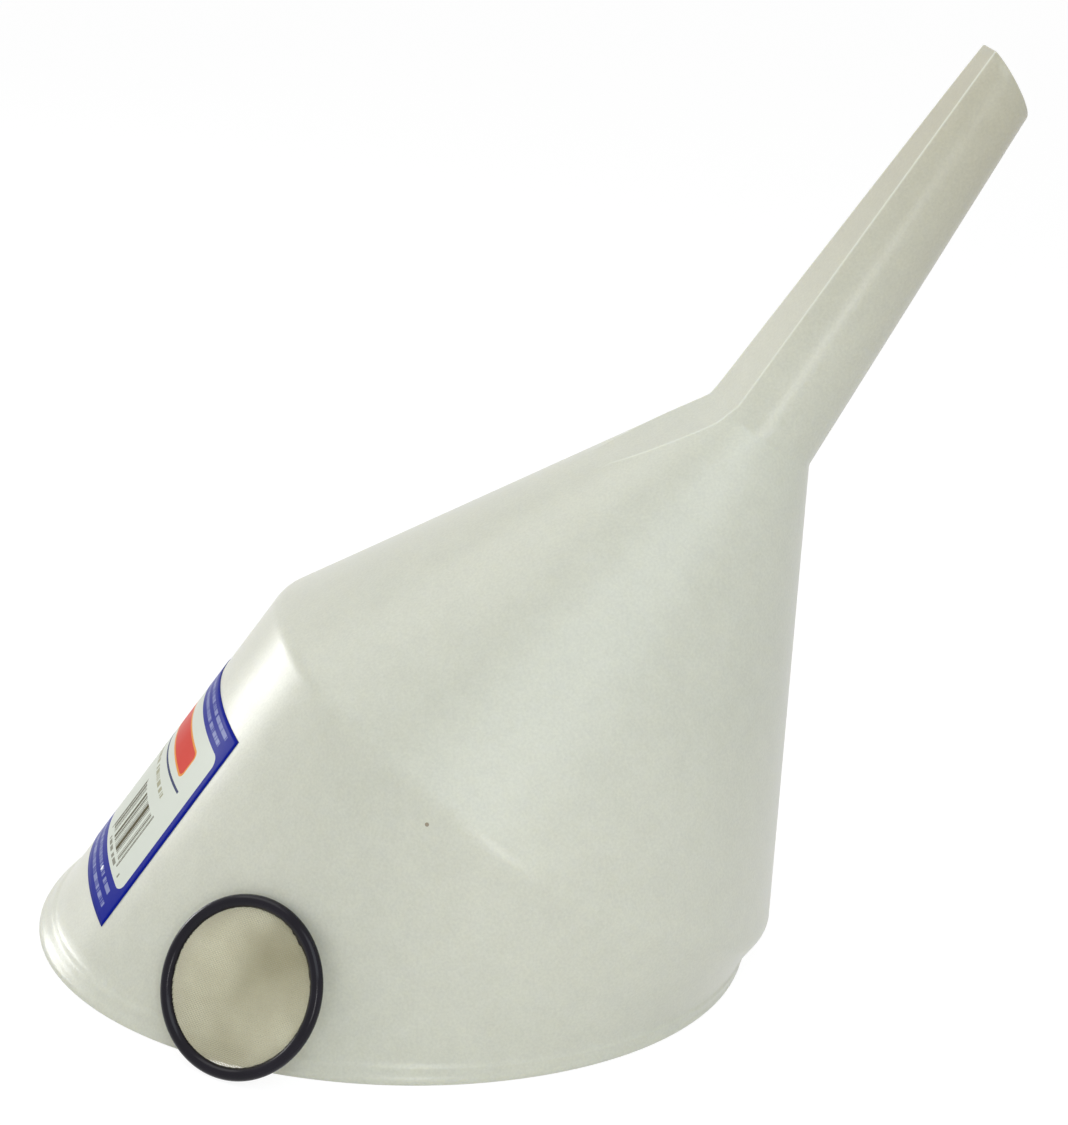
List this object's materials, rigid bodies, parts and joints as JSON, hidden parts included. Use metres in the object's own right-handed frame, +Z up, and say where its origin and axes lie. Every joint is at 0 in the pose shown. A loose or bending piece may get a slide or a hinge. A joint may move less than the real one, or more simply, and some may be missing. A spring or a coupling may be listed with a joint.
{
  "type": "filter funnel",
  "caption": "Large translucent plastic filter funnel with a slanted mouth, a long tapered spout with a vent flat and slanted tip, and a removable round filter screen.",
  "frame": {"origin": "where the funnel's axis meets the mouth plane, which is the surface it stands on", "axes": "+Z up, the funnel's axis and spout lean from +Z towards +X, -Y is the side the filter screen leans on"},
  "size_m": [0.3387, 0.2367, 0.338],
  "materials": {
    "translucent_plastic": "natural off-white polyethylene with a soft satin sheen, letting some light through",
    "printed_label": "printed film label, white panel with a blue border",
    "ring_plastic": "moulded black plastic, glossy",
    "wire_cloth": "fine plain-woven wire cloth, dull brass"
  },
  "bodies": {
    "funnel": {"funnel_body": "translucent_plastic", "label": "printed_label"},
    "screen": {"screen_ring": "ring_plastic", "screen_cloth": "wire_cloth"}
  },
  "joints": [
    {"name": "screen_lift", "type": "slide", "parent": "funnel", "child": "screen", "axis": [-0.4982, -0.7387, 0.454], "range_m": [0, 0.12]}
  ]
}
